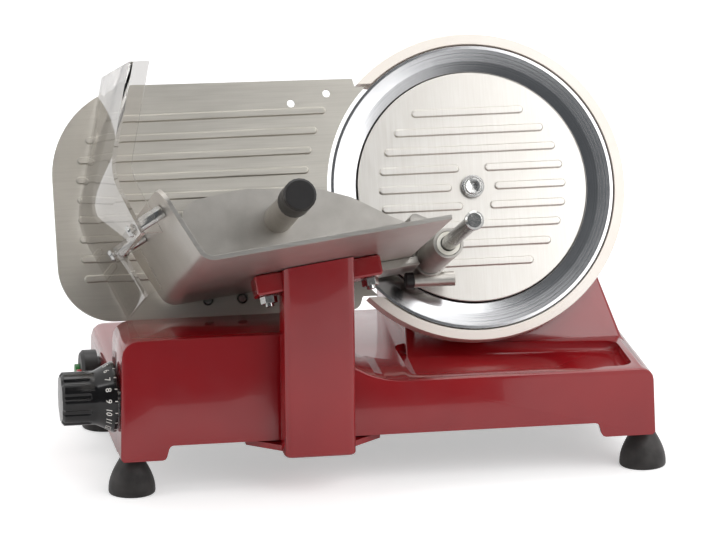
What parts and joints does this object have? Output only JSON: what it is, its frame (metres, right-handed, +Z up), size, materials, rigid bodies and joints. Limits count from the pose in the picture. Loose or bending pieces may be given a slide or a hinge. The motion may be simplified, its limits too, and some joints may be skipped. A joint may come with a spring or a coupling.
{
  "type": "meat slicer",
  "caption": "Electric gravity-feed food slicer with a tilted round blade, indexed gauge plate, sliding product tray, clear hand guard and swing-up pusher.",
  "frame": {"origin": "under the middle of the slicer's outline, on the surface its feet stand on", "axes": "+X to the right along the carriage's travel, +Y away from the operator, +Z up"},
  "size_m": [0.4108, 0.3448, 0.3187],
  "materials": {
    "red_enamel": "glossy enamel",
    "satin_aluminium": "satin",
    "cast_aluminium": "as cast",
    "polished_steel": "ground and polished",
    "bright_steel": "bright",
    "cream_enamel": "satin enamel",
    "black_gloss": "gloss",
    "black_plastic": "matte",
    "rubber": "matte",
    "clear_plastic": "clear",
    "red_plastic": "semi-gloss",
    "green_plastic": "semi-gloss",
    "bronze": "machined",
    "nylon": "natural"
  },
  "bodies": {
    "frame": {"base_casting": "red_enamel", "foot_front_left": "rubber", "foot_front_right": "rubber", "foot_rear_left": "rubber", "foot_rear_right": "rubber", "bottom_plate": "bright_steel", "ring_guard": "cream_enamel", "blade_axle": "bright_steel", "slice_deflector": "bright_steel", "drive_plate": "bright_steel", "motor": "cast_aluminium", "drive_belt": "rubber", "gauge_slide_rod": "bright_steel", "index_bushing": "bronze", "switch_body": "black_plastic", "cord_gland": "black_plastic", "carriage_rod": "bright_steel", "carriage_guide_bar": "bright_steel"},
    "blade_rotor": {"blade": "polished_steel", "blade_hub": "cast_aluminium", "hub_bearing_front": "bright_steel", "hub_bearing_rear": "bright_steel", "blade_cover": "satin_aluminium", "cover_screw": "bright_steel"},
    "motor_rotor": {"motor_shaft": "bright_steel", "motor_pulley": "cast_aluminium"},
    "gauge": {"gauge_plate": "satin_aluminium", "gauge_support": "cast_aluminium", "gauge_plate_screw_1": "bright_steel", "gauge_plate_screw_2": "bright_steel", "gauge_slider": "cast_aluminium", "cam_follower_pin": "bright_steel"},
    "index": {"index_knob": "black_gloss", "index_shaft": "bright_steel", "index_cam": "bronze"},
    "start": {"start_button": "green_plastic"},
    "stop": {"stop_button": "red_plastic"},
    "carriage": {"carriage_arm": "red_enamel", "arm_bushing_left": "bronze", "arm_bushing_right": "bronze", "roller_pin": "bright_steel", "tray_cross_bar": "red_enamel", "cross_bar_bolt_left": "bright_steel", "cross_bar_bolt_right": "bright_steel", "cross_bar_nut_left": "bright_steel", "cross_bar_nut_right": "bright_steel", "product_tray": "satin_aluminium", "hand_guard": "clear_plastic", "guard_spacer_rear": "bright_steel", "guard_spacer_front": "bright_steel", "guard_screw_rear": "bright_steel", "guard_screw_front": "bright_steel", "pusher_rod": "bright_steel", "rod_lug": "cast_aluminium", "lug_screw": "black_plastic"},
    "roller": {"guide_roller": "nylon"},
    "pusher_slider": {"sleeve_liner": "nylon"},
    "pusher": {"pusher_plate": "cast_aluminium", "pusher_handle": "cast_aluminium", "handle_cap": "black_plastic"}
  },
  "joints": [
    {"name": "blade_spin", "type": "hinge", "parent": "frame", "child": "blade_rotor", "pos_m": [0.08865, 0.06654, 0.1772], "axis": [0, -0.9239, 0.3827], "continuous": true},
    {"name": "motor_spin", "type": "hinge", "parent": "frame", "child": "motor_rotor", "pos_m": [0.12665, 0.07792, 0.10538], "axis": [0, -0.9239, 0.3827], "continuous": true},
    {"name": "index_turn", "type": "hinge", "parent": "frame", "child": "index", "pos_m": [-0.16135, -0.01066, 0.064], "axis": [1, 0, 0], "range_deg": [0, 330]},
    {"name": "gauge_slide", "type": "slide", "parent": "frame", "child": "gauge", "axis": [0, 0.9239, -0.3827], "range_m": [0, 0.012]},
    {"name": "start_push", "type": "slide", "parent": "frame", "child": "start", "axis": [1, 0, 0], "range_m": [0, 0.002], "stiffness_N_per_m": 300, "springref_m": -0.001},
    {"name": "stop_push", "type": "slide", "parent": "frame", "child": "stop", "axis": [1, 0, 0], "range_m": [0, 0.002], "stiffness_N_per_m": 300, "springref_m": -0.001},
    {"name": "carriage_slide", "type": "slide", "parent": "frame", "child": "carriage", "axis": [1, 0, 0], "range_m": [-0.052, 0.146]},
    {"name": "roller_spin", "type": "hinge", "parent": "carriage", "child": "roller", "pos_m": [-0.03715, 0.00664, 0.0347], "axis": [0, 1, 0], "continuous": true},
    {"name": "pusher_slide", "type": "slide", "parent": "carriage", "child": "pusher_slider", "axis": [0, -0.9239, 0.3827], "range_m": [0, 0.1]},
    {"name": "pusher_swing", "type": "hinge", "parent": "pusher_slider", "child": "pusher", "pos_m": [0.05165, -0.03651, 0.1636], "axis": [0, -0.9239, 0.3827], "range_deg": [-90, 0]}
  ],
  "couplings": [
    {"joint": "motor_spin", "follows": "blade_spin", "ratio": 4.4444},
    {"joint": "index_turn", "follows": "gauge_slide", "rad_per_m": 479.96}
  ]
}
